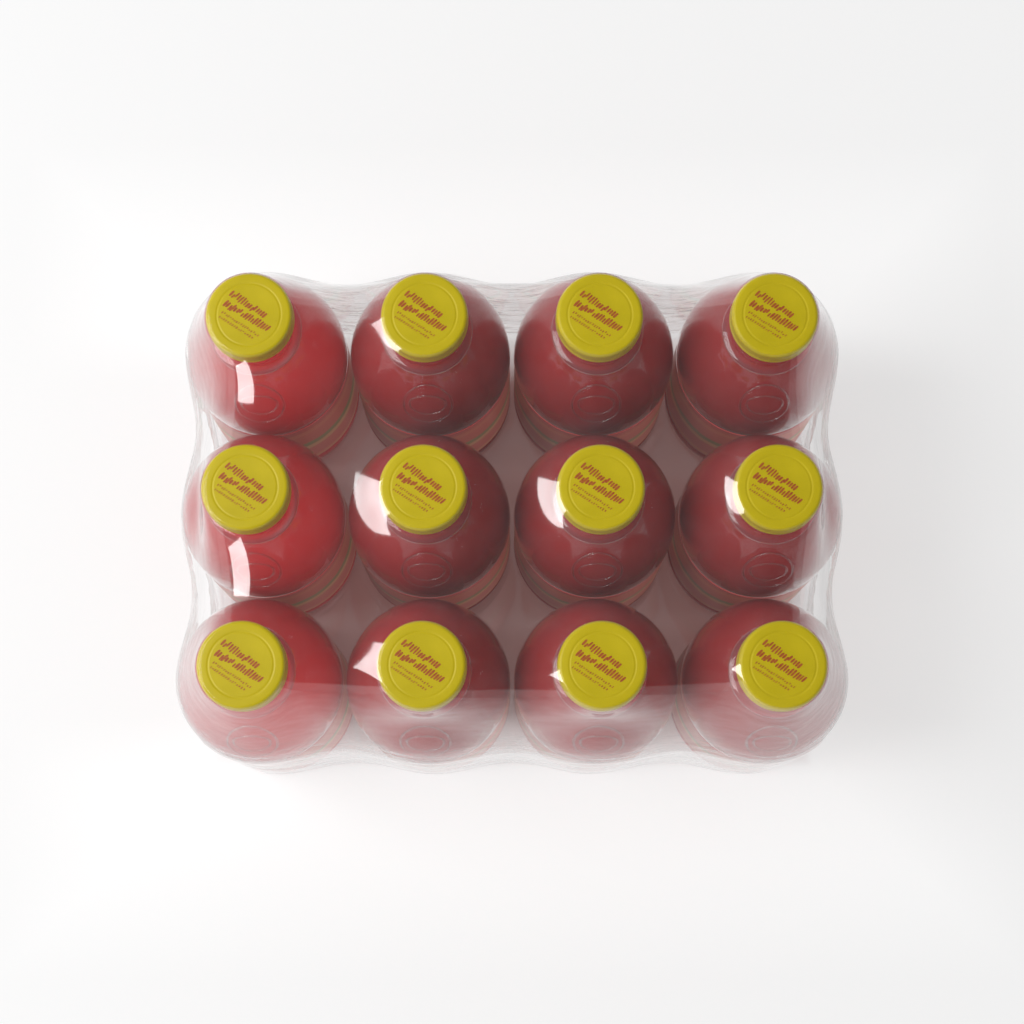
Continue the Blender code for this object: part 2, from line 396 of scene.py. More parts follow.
def print_red():
    nodes = Nodes("cap print")
    worn = nodes.noise(nodes.coordinates(), 900.0, 2.0)
    colour = nodes.ramp(worn, [(0.35, (0.42, 0.075, 0.012)), (0.7, (0.52, 0.15, 0.018))])
    ink = nodes.add("ShaderNodeBsdfPrincipled", Base_Color=colour, Roughness=0.4)
    return nodes.finish(ink.outputs[0])


def label_print():
    """Fields of brown, tan, orange and green in uneven bands round the bottle."""
    nodes = Nodes("label print")
    where = nodes.coordinates()
    height = nodes.add("ShaderNodeSeparateXYZ", Vector=where).outputs["Z"]
    drift = nodes.noise(nodes.stretched(where, (1.0, 1.0, 0.25)), 38.0, 3.0)
    wavy = nodes.maths("MULTIPLY_ADD", drift, LABEL_DRIFT, height)
    level = nodes.remap(wavy, LABEL_LOW.z, LABEL_HIGH.z + LABEL_DRIFT, 0.0, 1.0)
    stops = []
    for start, end, low_colour, high_colour in LABEL_BANDS:
        stops += [(start, low_colour), (end, high_colour)]
    fields = nodes.ramp(level, stops)
    ink = nodes.add("ShaderNodeBsdfPrincipled", Base_Color=fields, Roughness=0.32)
    return nodes.finish(ink.outputs[0])


def clear_film():
    """Outer face of the film: clear face on, whiter at a graze, with fine drawn streaks. Where
    the film lies on a cap it mirrors little, as there is no air under it."""
    nodes = Nodes("clear film")
    where = nodes.coordinates()
    drawn = nodes.noise(nodes.stretched(where, (1.0, 1.0, 5.0)), 75.0, 1.5, 0.6)
    height = nodes.add("ShaderNodeSeparateXYZ", Vector=where).outputs["Z"]
    loose = nodes.remap(height, FILM_TOP - 0.00014, FILM_TOP - 0.00003, 1.0, 0.12)
    facing = nodes.facing()
    depth = nodes.ramp(facing, [(0.0, grey(0.985)), (0.72, grey(0.97)), (1.0, grey(0.62))])
    see = nodes.add("ShaderNodeBsdfTransparent", Color=depth)
    milk = nodes.add("ShaderNodeBsdfDiffuse", Color=(0.92, 0.92, 0.92, 1.0))
    mirror = nodes.add("ShaderNodeBsdfGlossy", Color=(1, 1, 1, 1), Roughness=0.07)
    slanted = nodes.maths("POWER", facing, 3.0)
    wisps = nodes.ramp(
        drawn, [(0.40, grey(0.12)), (0.54, grey(0.38)), (0.58, grey(0.55)), (0.63, grey(1.0))]
    )
    outline = nodes.remap(height, OUTLINE_HEIGHT + 0.014, OUTLINE_HEIGHT + 0.005, 0.0, 1.0)
    amount = nodes.add("ShaderNodeMix", Factor=outline, A=0.34, B=wisps).outputs[0]
    streaks = nodes.maths("MULTIPLY", slanted, amount)
    milky = nodes.mix_shaders(streaks, see.outputs[0], milk.outputs[0])
    uneven = nodes.remap(drawn, 0.35, 0.65, 1.08, 0.86)
    gloss = nodes.maths("MULTIPLY", sheen_share(nodes, 0.12), uneven)
    share = nodes.maths("MULTIPLY", gloss, loose)
    return nodes.finish(nodes.mix_shaders(share, milky, mirror.outputs[0]))


def inner_face(name):
    """Inner face of a clear wall, which only dims what is seen through it a little."""
    nodes = Nodes(name)
    thin = nodes.noise(nodes.coordinates(), 40.0, 0.0)
    tint = nodes.ramp(thin, [(0.3, grey(0.98)), (0.7, grey(0.99))])
    return nodes.finish(nodes.add("ShaderNodeBsdfTransparent", Color=tint).outputs[0])


# Turned shapes


def lathe(name, profile, material, sides=LATHE_SIDES, ripple=None):
    """Turns a profile of (radius, height) round Z. A radius of 0 closes it on the axis, and a
    profile that ends where it starts is a ring. ripple(radius, height, angle) moves a radius."""
    shape = bmesh.new()
    closed = profile[0] == profile[-1]
    rings = []
    for radius, height in profile[:-1] if closed else profile:
        if radius == 0:
            rings.append([shape.verts.new((0, 0, height))])
            continue
        ring = []
        for k in range(sides):
            angle = 2 * math.pi * k / sides
            reach = ripple(radius, height, angle) if ripple else radius
            ring.append(
                shape.verts.new((reach * math.cos(angle), reach * math.sin(angle), height))
            )
        rings.append(ring)
    if closed:
        rings.append(rings[0])
    for lower, upper in zip(rings, rings[1:]):
        for k in range(sides):
            after = (k + 1) % sides
            if len(lower) == 1:
                shape.faces.new((lower[0], upper[after], upper[k]))
            elif len(upper) == 1:
                shape.faces.new((lower[k], lower[after], upper[0]))
            else:
                shape.faces.new((lower[k], lower[after], upper[after], upper[k]))
    bmesh.ops.recalc_face_normals(shape, faces=shape.faces)
    mesh = bpy.data.meshes.new(name)
    shape.to_mesh(mesh)
    shape.free()
    mesh.materials.append(material)
    mesh.shade_smooth()
    mesh.set_sharp_from_angle(angle=SHARP_ANGLE)
    return mesh


def skin_profile(inset, top):
    """The bottle's outer skin from its foot up to a height, moved in by inset."""
    dome = []
    for k in range(DOME_STEPS + 1):
        angle = DOME_TOP_ANGLE * k / DOME_STEPS
        dome.append(
            (
                (BODY_RADIUS - inset) * math.cos(angle),
                DOME_BASE + (DOME_RISE - inset) * math.sin(angle),
            )
        )
    panel = PANEL_RADIUS - inset
    body = BODY_RADIUS - inset
    bead = BEAD_RADIUS - inset
    neck = NECK_RADIUS - inset
    base = FLOOR_GAP + inset
    points = [
        (0.0, base + 0.0035),
        (0.012, base + 0.0030),
        (0.022, base + 0.0012),
        (0.027, base),
        (0.031, base),
        (0.0345 - inset, base + 0.0008),
        (0.0366 - inset, base + 0.0028),
        (body - 0.0002, base + 0.0052),
        (body, base + 0.0075),
        (body, PANEL_LOW - 0.0012),
        (body - 0.0003, PANEL_LOW - 0.0003),
        (panel + 0.0002, PANEL_LOW + 0.0008),
        (panel, PANEL_LOW + 0.0018),
        (panel, PANEL_HIGH - 0.0018),
        (panel + 0.0002, PANEL_HIGH - 0.0008),
        (body - 0.0003, PANEL_HIGH + 0.0003),
        (body, PANEL_HIGH + 0.0014),
        *dome,
        (dome[-1][0] - 0.0003, BEAD_HEIGHT - 0.0010),
        (bead - 0.0008, BEAD_HEIGHT - 0.0004),
        (bead, BEAD_HEIGHT),
        (bead, BEAD_HEIGHT + 0.0006),
        (bead - 0.0006, BEAD_HEIGHT + 0.0012),
        (neck + 0.0006, BEAD_HEIGHT + 0.0016),
        (neck, BEAD_HEIGHT + 0.0024),
        (neck, top),
    ]
    return [point for point in points if point[1] <= top]


def bottle_mesh(material):
    outer = skin_profile(0.0, MOUTH_HEIGHT)
    inner = skin_profile(WALL, MOUTH_HEIGHT)
    mesh = lathe("bottle_shell", outer + inner[::-1], material)
    mesh.materials.append(inner_face("bottle inside"))
    for face in mesh.polygons[len(outer) * LATHE_SIDES :]:
        face.material_index = 1
    add_ovals(mesh)
    return mesh


def add_ovals(mesh):
    """Two raised ovals, one inside the other, on the front of the bottle's shoulder."""
    shape = bmesh.new()
    shape.from_mesh(mesh)
    corners = 64
    line = ((-OVAL_LINE, OVAL_SINK), (0.0, OVAL_RELIEF), (OVAL_LINE, OVAL_SINK))
    for wide, tall in OVAL_SCALES:
        sections = []
        for k in range(corners):
            turn = 2 * math.pi * k / corners
            section = []
            for offset, relief in line:
                around = -math.pi / 2 + OVAL_HALF_TURN * (wide + offset) * math.cos(turn)
                up = OVAL_MIDDLE + OVAL_HALF_RISE * (tall + offset) * math.sin(turn)
                reach = (BODY_RADIUS + relief) * math.cos(up)
                height = DOME_BASE + (DOME_RISE + relief) * math.sin(up)
                place = (reach * math.cos(around), reach * math.sin(around), height)
                section.append(shape.verts.new(place))
            sections.append(section)
        made = []
        for k, here in enumerate(sections):
            after = sections[(k + 1) % corners]
            for j in range(3):
                beside = (j + 1) % 3
                made.append(
                    shape.faces.new((here[j], here[beside], after[beside], after[j]))
                )
        for face in made:
            face.smooth = True
        bmesh.ops.recalc_face_normals(shape, faces=made)
    shape.to_mesh(mesh)
    shape.free()


def drink_mesh(material):
    profile = skin_profile(SEATING, DRINK_LEVEL)
    return lathe("drink_fill", [*profile, (0.0, DRINK_LEVEL)], material)


def label_mesh(material):
    inner = LABEL_HIGH.x - centre_of(1, 1).x - LABEL_THICKNESS
    outer = inner + LABEL_THICKNESS
    rounded = LABEL_THICKNESS * 0.3
    profile = [
        (inner, LABEL_LOW.z),
        (outer - rounded, LABEL_LOW.z),
        (outer, LABEL_LOW.z + rounded),
        (outer, LABEL_HIGH.z - rounded),
        (outer - rounded, LABEL_HIGH.z),
        (inner, LABEL_HIGH.z),
        (inner, LABEL_LOW.z),
    ]
    return lathe("label_wrap", profile, material)


def cap_ripple(radius, height, angle):
    """Fine ribs round the skirt, which fade out under the rounded edge."""
    if radius < CAP_RADIUS - 0.0006:
        return radius
    fade = min(1.0, max(0.0, (CAP_EDGE_HEIGHT - height) / 0.0012))
    return radius - RIB_DEPTH * fade * (0.5 - 0.5 * math.cos(CAP_RIBS * angle))


def cap_mesh(material):
    top, base = CAP_HIGH.z, CAP_LOW.z
    edge = []
    for k in range(CAP_EDGE_STEPS + 1):
        angle = math.pi / 2 * k / CAP_EDGE_STEPS
        edge.append(
            (
                CAP_EDGE_REACH + CAP_EDGE * math.sin(angle),
                CAP_EDGE_HEIGHT + CAP_EDGE * math.cos(angle),
            )
        )
    groove = [
        (GROOVE_RADIUS + offset, top - depth)
        for offset, depth in (
            (-0.0009, 0.0),
            (-0.0007, 0.0),
            (-0.0003, 0.6 * GROOVE_DEPTH),
            (0.0, GROOVE_DEPTH),
            (0.0003, 0.6 * GROOVE_DEPTH),
            (0.0007, 0.0),
            (0.0009, 0.0),
        )
    ]
    skirt = [
        (CAP_RADIUS - 0.0001, CAP_EDGE_HEIGHT - 0.0013),
        (CAP_RADIUS - 0.0001, base + 0.0026),
        (CAP_RADIUS - 0.0005, base + 0.0023),
        (CAP_RADIUS - 0.0005, base + 0.0020),
        (CAP_RADIUS, base + 0.0017),
        (CAP_RADIUS, base + 0.0002),
        (CAP_RADIUS - 0.0003, base),
    ]
    inside = [
        (CAP_RADIUS - CAP_WALL, base),
        (CAP_RADIUS - CAP_WALL, top - CAP_WALL),
        (0.0, top - CAP_WALL),
    ]
    profile = [(0.0, top), (0.007, top), *groove, *edge, *skirt, *inside]
    return lathe("cap_shell", profile, material, 2 * CAP_RIBS, cap_ripple)


def prism(shape, outline, low, high):
    """A low closed block with this outline, a list of (x, y)."""
    bottom = [shape.verts.new((x, y, low)) for x, y in outline]
    top = [shape.verts.new((x, y, high)) for x, y in outline]
    shape.faces.new(bottom[::-1])
    shape.faces.new(top)
    for k in range(len(outline)):
        after = (k + 1) % len(outline)
        shape.faces.new((bottom[k], bottom[after], top[after], top[k]))


def lozenge(x, y, half_width, half_height, lean):
    """A rounded leaf shape, in print coordinates."""
    corners = 12
    points = []
    for k in range(corners):
        angle = 2 * math.pi * k / corners
        across = half_width * math.copysign(abs(math.cos(angle)) ** 0.9, math.cos(angle))
        along = half_height * math.copysign(abs(math.sin(angle)) ** 0.6, math.sin(angle))
        points.append((x + across + lean * along, y + along))
    return points


def print_mesh(material):
    """Two rows of leaf shapes and two thin rows of dashes, for one cap."""
    draw = np.random.default_rng(PRINT_SEED)
    shape = bmesh.new()
    turn = Vector((math.cos(PRINT_TURN), math.sin(PRINT_TURN)))
    for start, end, half_height, half_width, stride in PRINT_ROWS:
        run = Vector(end) - Vector(start)
        steps = round(run.length / stride)
        for step in range(steps):
            spot = Vector(start) + run * ((step + draw.uniform(0.42, 0.58)) / steps)
            wide = half_width * draw.uniform(0.75, 1.2)
            tall = half_height * draw.uniform(0.5, 1.0)
            shift = (half_height - tall) * draw.uniform(-0.9, 0.9)
            leaf = lozenge(spot.x, spot.y + shift, wide, tall, draw.uniform(0.20, 0.34))
            turned = [
                (px * turn.x - py * turn.y, px * turn.y + py * turn.x) for px, py in leaf
            ]
            prism(shape, turned, CAP_HIGH.z - 0.0002, CAP_HIGH.z + PRINT_RISE)
    mesh = bpy.data.meshes.new("cap_print")
    shape.to_mesh(mesh)
    shape.free()
    mesh.materials.append(material)
    return mesh


def make_bottles():
    meshes = {
        "bottle_shell": (bottle_mesh(clear_bottle()), "bottle_clear", "bottle"),
        "drink_fill": (drink_mesh(red_drink()), "red_drink", "drink"),
        "label_wrap": (label_mesh(label_print()), "label_print", "label"),
        "cap_shell": (cap_mesh(yellow_cap()), "cap_yellow", "cap"),
        "cap_print": (print_mesh(print_red()), "label_print", None),
    }
    for row, column in PLACES:
        for kind, (mesh, slot, node) in meshes.items():
            place = f"{row}_{column}"
            nodes = [f"{node}_{place}"] if node else []
            add_piece(f"{kind}_{place}", mesh, slot, *nodes, location=centre_of(row, column))


# Film


def swell(across):
    """0 on a bottle's axis and 1 midway between two bottles."""
    return (1 - math.cos(2 * math.pi * across / PITCH)) / 2


class Bag:
    """Points and faces of the film's inner face. found gives a point's number by its place,
    pinned its fixed height by its number, and skirt the dip of a point of the outline."""

    def __init__(self):
        self.points = []
        self.faces = []
        self.found = {}
        self.pinned = {}
        self.skirt = {}

    def point(self, x, y, height=0.0, level=0):
        key = (round(x * 1e5), round(y * 1e5), level)
        if key not in self.found:
            self.found[key] = len(self.points)
            self.points.append((x, y, height))
        return self.found[key]


class Ray:
    """One line of the film, from a cap's middle to the next cell or to the pack's outline."""

    def __init__(self, axis, angle, end, dip):
        self.axis = axis
        self.angle = angle
        self.cosine, self.sine = math.cos(angle), math.sin(angle)
        self.end = end
        self.dip = dip
        self.lean = FIRST_LEAN
        self.numbers = []

    def places(self):
        """(x, y, height) from the hub outwards, with no height where the film hangs free."""
        rows = [(CAP_EDGE_REACH * share, FILM_TOP) for share in HUB_SHARES]
        for step in range(1, BEND_STEPS + 1):
            turn = self.lean * step / BEND_STEPS
            rows.append(
                (
                    CAP_EDGE_REACH + BEND_RADIUS * math.sin(turn),
                    CAP_EDGE_HEIGHT + BEND_RADIUS * math.cos(turn),
                )
            )
        found = []
        for radius, height in rows:
            x = self.axis.x + radius * self.cosine
            y = self.axis.y + radius * self.sine
            found.append((x, y, height))
        start_x, start_y = found[-1][:2]
        for step in range(1, FREE_STEPS + 1):
            share = (step / FREE_STEPS) ** FREE_GROWTH
            x = start_x + (self.axis.x + self.end[0] - start_x) * share
            y = start_y + (self.axis.y + self.end[1] - start_y) * share
            found.append((x, y, None))
        if self.dip is not None:
            found[-1] = (*found[-1][:2], OUTLINE_HEIGHT + LIFT * self.dip)
        return found


def cell_rays(row, column):
    """The rays over one bottle. Between two outer bottles the outline dips in and rises."""
    axis = centre_of(row, column)
    out_x = {-1: column == 1, 1: column == COLUMNS}
    out_y = {-1: row == 1, 1: row == ROWS}
    drawn_in = (OUTLINE_RADIUS - DIP_HIGH) / HALF_PITCH
    hair = 1e-9
    rays = []
    for k in range(RAYS):
        angle = 2 * math.pi * k / RAYS
        cosine, sine = math.cos(angle), math.sin(angle)
        reach = HALF_PITCH / max(abs(cosine), abs(sine))
        x, y = reach * cosine, reach * sine
        over_x = out_x[1 if cosine > 0 else -1] and abs(cosine) > hair
        over_y = out_y[1 if sine > 0 else -1] and abs(sine) > hair
        wide_x = abs(cosine) > abs(sine) - hair
        wide_y = abs(sine) > abs(cosine) - hair
        dip = 0.0
        if over_x and over_y:
            x, y = OUTLINE_RADIUS * cosine, OUTLINE_RADIUS * sine
        elif over_x and wide_x:
            dip = swell(y)
            x = math.copysign(OUTLINE_RADIUS - DIP_HIGH * dip, cosine)
        elif over_y and wide_y:
            dip = swell(x)
            y = math.copysign(OUTLINE_RADIUS - DIP_HIGH * dip, sine)
        else:
            dip = None
            x *= drawn_in if over_x else 1.0
            y *= drawn_in if over_y else 1.0
        rays.append(Ray(axis, angle, (x, y), dip))
    return rays


def add_film_cell(bag, rays):
    """Gives the rays of one cell their points, and joins them by faces."""
    for ray in rays:
        places = ray.places()
        for level, (x, y, _) in enumerate(places):
            last = level == len(places) - 1
            name = 0 if last else (rays[0].axis.x, rays[0].axis.y, ray.angle, level)
            ray.numbers.append(bag.point(x, y, level=name))
        if ray.dip is not None:
            bag.skirt[ray.numbers[-1]] = ray.dip
    axis = rays[0].axis
    hub = bag.point(axis.x, axis.y, level="hub")
    bag.pinned[hub] = FILM_TOP
    for k, ray in enumerate(rays):
        here, after = ray.numbers, rays[(k + 1) % RAYS].numbers
        bag.faces.append((hub, here[0], after[0]))
        for step in range(len(here) - 1):
            bag.faces.append((here[step], here[step + 1], after[step + 1], after[step]))


def shoulder_heights(plan):
    """Height of the bottles' shoulders, with the film's gap, under each point."""
    wide = BODY_RADIUS + FILM_GAP
    across = (plan[:, 0] + COLUMNS / 2 * PITCH) % PITCH - HALF_PITCH
    along = (plan[:, 1] + ROWS / 2 * PITCH) % PITCH - HALF_PITCH
    share = np.clip(np.hypot(across, along) / wide, 0.0, 1.0)
    return DOME_BASE + (DOME_RISE + FILM_GAP) * np.sqrt(1 - share**2)


def settle_film(bag, cells):
    """Solves the membrane, which rests on the shoulders, and lets it leave each cap's edge at
    its own slope."""
    triangles = triangles_of(bag.faces)
    first_free = len(HUB_SHARES) + BEND_STEPS
    heights = np.full(len(bag.points), FILM_TOP)
    for _ in range(SETTLING_ROUNDS):
        for rays in cells:
            for ray in rays:
                for number, (x, y, height) in zip(ray.numbers, ray.places()):
                    bag.points[number] = (x, y, 0.0)
                    if height is not None:
                        bag.pinned[number] = height
        points = np.array(bag.points)
        heights = solve_membrane(points[:, :2], heights, triangles, bag.pinned)
        shoulders = shoulder_heights(points[:, :2])
        for number in np.flatnonzero(heights < shoulders):
            heights[number] = bag.pinned[number] = shoulders[number]
        points[:, 2] = heights
        for rays in cells:
            leans = []
            for ray in rays:
                start = points[ray.numbers[first_free - 1]]
                free = points[ray.numbers[first_free]]
                run = math.hypot(free[0] - start[0], free[1] - start[1])
                leans.append(math.atan2(start[2] - free[2], run))
            for k, ray in enumerate(rays):
                near = leans[k - 1] + 2 * leans[k] + leans[(k + 1) % RAYS]
                ray.lean = min(MOST_LEAN, max(LEAST_LEAN, 0.4 * ray.lean + 0.15 * near))
    bag.points = [tuple(point) for point in points]


def triangles_of(faces):
    rows = []
    for face in faces:
        rows.append(face[:3])
        if len(face) == 4:
            rows.append((face[0], face[2], face[3]))
    return np.array(rows)


def ridge(off_centre, outer):
    """1 along a row of outer caps, fading to 0 on both sides of it."""
    return np.exp(-(((np.abs(off_centre) - outer) / RIDGE_WIDTH) ** 2))


def solve_membrane(plan, before, triangles, pinned):
    """Heights of a tight film held at the pinned points and pulled down evenly between.

    The film's tension is the same however steep it is, so a steep stretch pulls less straight
    down than its slope says. The slopes come from the heights of the round before. From one
    outer cap to the next the film is tighter, which keeps the ridges between them straight."""
    corners = plan[triangles]
    across = corners[:, (2, 0, 1)] - corners[:, (1, 2, 0)]
    turn = across[:, 0, 0] * across[:, 1, 1] - across[:, 0, 1] * across[:, 1, 0]
    turn = np.where(np.abs(turn) < SLIVER, SLIVER, turn)
    hats = np.stack([-across[..., 1], across[..., 0]], axis=2) / turn[:, None, None]
    area = np.abs(turn) / 2
    slope = np.einsum("tik,ti->tk", hats, before[triangles])
    tension = 1 / np.sqrt(1 + (slope**2).sum(axis=1))
    middle = corners.mean(axis=1)
    ridge_x = RIDGE_TENSION * ridge(middle[:, 1], (ROWS - 1) / 2 * PITCH)
    ridge_y = RIDGE_TENSION * ridge(middle[:, 0], (COLUMNS - 1) / 2 * PITCH)
    pull = np.stack([tension + ridge_x, tension + ridge_y], axis=1) * area[:, None]
    count = len(plan)

    def gather(shares):
        return np.bincount(triangles.ravel(), shares.ravel(), count)

    def apply(heights):
        slopes = np.einsum("tik,ti->tk", hats, heights[triangles])
        return gather(np.einsum("tk,tik->ti", slopes * pull, hats))

    heights = before.copy()
    fixed = np.array(sorted(pinned))
    heights[fixed] = [pinned[k] for k in fixed]
    loose = np.ones(count)
    loose[fixed] = 0.0
    load = gather(np.repeat(area[:, None] / 3, 3, axis=1)) * FILM_PULL
    rest = (-load - apply(heights)) * loose
    step = rest.copy()
    energy = rest @ rest
    for _ in range(SOLVER_STEPS):
        moved = apply(step) * loose
        length = energy / (step @ moved)
        heights += length * step
        rest -= length * moved
        after = rest @ rest
        if after < SOLVED:
            break
        step = rest + after / energy * step
        energy = after
    return heights


def lattice_noise(u, v, seed):
    """Smooth noise between -1 and 1 over two numpy arrays, one lattice cell to a unit."""
    cells_u, cells_v = 64, 256
    lattice = np.random.default_rng(seed).uniform(-1, 1, (cells_u, cells_v))
    cell_u, cell_v = np.floor(u).astype(int), np.floor(v).astype(int)
    share_u, share_v = u - cell_u, v - cell_v
    share_u = share_u * share_u * (3 - 2 * share_u)
    share_v = share_v * share_v * (3 - 2 * share_v)

    def corner(du, dv):
        return lattice[(cell_u + du) % cells_u, (cell_v + dv) % cells_v]

    low = corner(0, 0) * (1 - share_u) + corner(1, 0) * share_u
    high = corner(0, 1) * (1 - share_u) + corner(1, 1) * share_u
    return low * (1 - share_v) + high * share_v


def skirt_profile():
    """Rows down the pack's side: (share of the way from the outline down to the shoulder,
    height, how far the film stands out), where rows below the shoulder have a share of 1."""
    wide = BODY_RADIUS + FILM_GAP
    rows = []
    for k in range(1, SHOULDER_ROWS + 1):
        height = OUTLINE_HEIGHT + (DOME_BASE - OUTLINE_HEIGHT) * k / SHOULDER_ROWS
        rise = (height - DOME_BASE) / DOME_RISE
        reach = BODY_RADIUS * math.sqrt(1 - rise * rise) + FILM_GAP
        rows.append((k / SHOULDER_ROWS, height, reach))
    for k in range(1, SIDE_ROWS + 1):
        rows.append((1.0, DOME_BASE + (FOOT_HEIGHT - DOME_BASE) * k / SIDE_ROWS, wide))
    for k in range(1, FOOT_ROWS + 1):
        angle = math.pi / 2 * k / FOOT_ROWS
        rows.append(
            (
                1.0,
                FOOT_HEIGHT - (FOOT_HEIGHT - FILM_THICKNESS) * math.sin(angle),
                FOOT_RADIUS + (wide - FOOT_RADIUS) * math.cos(angle),
            )
        )
    return rows


def outline_order(bag):
    """The outline's point numbers, anticlockwise."""
    found = list(bag.skirt)
    found.sort(key=lambda k: math.atan2(bag.points[k][1], bag.points[k][0]))
    return found


def side_direction(x, y):
    """Which way is out for a point of the outline: square to a side, or round a corner."""
    corner_x = (COLUMNS - 1) / 2 * PITCH
    corner_y = (ROWS - 1) / 2 * PITCH
    past_x = abs(x) - corner_x
    past_y = abs(y) - corner_y
    if past_x > 0 and past_y > 0:
        return Vector((math.copysign(past_x, x), math.copysign(past_y, y))).normalized()
    if past_x > past_y:
        return Vector((math.copysign(1, x), 0))
    return Vector((0, math.copysign(1, y)))


def add_skirt(bag):
    """Carries the film from its outline down the sides and closes it under the bottles."""
    order = outline_order(bag)
    above = order
    for level, (share, height, radius) in enumerate(skirt_profile(), 1):
        row = []
        for number in order:
            x, y, _ = bag.points[number]
            dip = bag.skirt[number]
            reach = radius - OUTLINE_RADIUS + dip * share * (DIP_HIGH - DIP_LOW)
            out = side_direction(x, y) * reach
            lifted = LIFT * dip * (1 - share)
            row.append(bag.point(x + out.x, y + out.y, height + lifted, level))
        for k, here in enumerate(row):
            after = (k + 1) % len(row)
            bag.faces.append((above[k], here, row[after], above[after]))
        above = row
    bag.faces.append(tuple(reversed(above)))


def wrinkle(points, normals):
    """Moves the film a little along its normals by its streaks, folds and gathers. Streaks have
    cells of 18 by 2.2 mm and 11 by 1.2 mm, and folds of 20 by 12 mm."""
    x, y, z = points.T
    on_long_side = np.abs(y) / SIDE_Y > np.abs(x) / SIDE_X
    along = np.where(on_long_side, x, y)
    side = np.where(on_long_side, 3.0, 11.0)
    lower = np.clip((0.110 - z) / 0.02, 0, 1) * np.clip((z - 0.004) / 0.01, 0, 1)

    slanted = z + STREAK_SLANT * along
    streaks = lattice_noise(along / 0.018 + side, slanted / 0.0022 + 9, 1)
    streaks += 0.6 * lattice_noise(along / 0.011 + side, slanted / 0.0012 + 4, 2)
    band = np.exp(-(((z - STREAK_HEIGHT) / STREAK_BAND) ** 2))

    fanned = z - FOLD_SLANT * np.abs(along)
    folds = lattice_noise(along / 0.020 + side, fanned / 0.012 + 5, 3)

    radial_y = y / OPENING_HALF_WIDTH
    radial_z = (z - OPENING_CENTRE) / OPENING_HALF_HEIGHT
    outside = np.clip(np.hypot(radial_y, radial_z) - 1, 0, None)
    spoke = np.arctan2(radial_z, radial_y)
    gather = np.exp(-outside / GATHER_REACH) * (np.abs(x) - OPENING_STARTS > 0) * lower
    gather *= np.sin(GATHER_SPOKES * spoke + 3 * np.sin(3 * spoke))

    shift = STREAK_RELIEF * streaks * band + FOLD_RELIEF * folds * lower + GATHER_RELIEF * gather
    return points + normals * np.clip(shift, -MOST_RELIEF, MOST_RELIEF)[:, None]


def film_mesh():
    bag = Bag()
    cells = [cell_rays(row, column) for row, column in PLACES]
    for rays in cells:
        add_film_cell(bag, rays)
    settle_film(bag, cells)
    add_skirt(bag)
    mesh = bpy.data.meshes.new("film_sleeve")
    mesh.from_pydata(bag.points, [], bag.faces)
    mesh.validate()
    shape = bmesh.new()
    shape.from_mesh(mesh)
    bmesh.ops.recalc_face_normals(shape, faces=shape.faces)
    shape.to_mesh(mesh)
    shape.free()
    points = np.array(bag.points)
    normals = np.array([tuple(corner.vector) for corner in mesh.vertex_normals])
    moved = wrinkle(points, normals)
    mesh.vertices.foreach_set("co", moved.ravel())
    mesh.materials.append(clear_film())
    mesh.materials.append(inner_face("film underside"))
    mesh.shade_smooth()
    mesh.update()
    return mesh


def opening_cutter():
    """An oval bar along X that opens both short ends of the film."""
    shape = bmesh.new()
    corners = 96
    ends = []
    for x in (-CUTTER_REACH, CUTTER_REACH):
        ring = []
        for k in range(corners):
            angle = 2 * math.pi * k / corners
            ring.append(
                shape.verts.new(
                    (
                        x,
                        OPENING_HALF_WIDTH * math.cos(angle),
                        OPENING_CENTRE + OPENING_HALF_HEIGHT * math.sin(angle),
                    )
                )
            )
        shape.faces.new(ring)
        ends.append(ring)
    for k in range(corners):
        after = (k + 1) % corners
        shape.faces.new((ends[0][k], ends[0][after], ends[1][after], ends[1][k]))
    bmesh.ops.recalc_face_normals(shape, faces=shape.faces)
    mesh = bpy.data.meshes.new("opening_cutter")
    shape.to_mesh(mesh)
    shape.free()
    cutter = bpy.data.objects.new("opening_cutter", mesh)
    bpy.context.scene.collection.objects.link(cutter)
    return cutter


def apply_modifiers(piece):
    """Replaces a piece's mesh by what its modifiers make of it."""
    graph = bpy.context.evaluated_depsgraph_get()
    made = bpy.data.meshes.new_from_object(piece.evaluated_get(graph), depsgraph=graph)
    piece.modifiers.clear()
    piece.data = made


def make_film():
    film = add_piece("film_sleeve", film_mesh(), "clear_film", "film_wrap")
    thickness = film.modifiers.new("thickness", "SOLIDIFY")
    thickness.thickness = FILM_THICKNESS
    thickness.offset = 1.0
    thickness.material_offset = 1
    cutter = opening_cutter()
    cut = film.modifiers.new("end_openings", "BOOLEAN")
    cut.object = cutter
    cut.solver = "EXACT"
    apply_modifiers(film)
    bpy.data.objects.remove(cutter, do_unlink=True)


# Room, light and camera


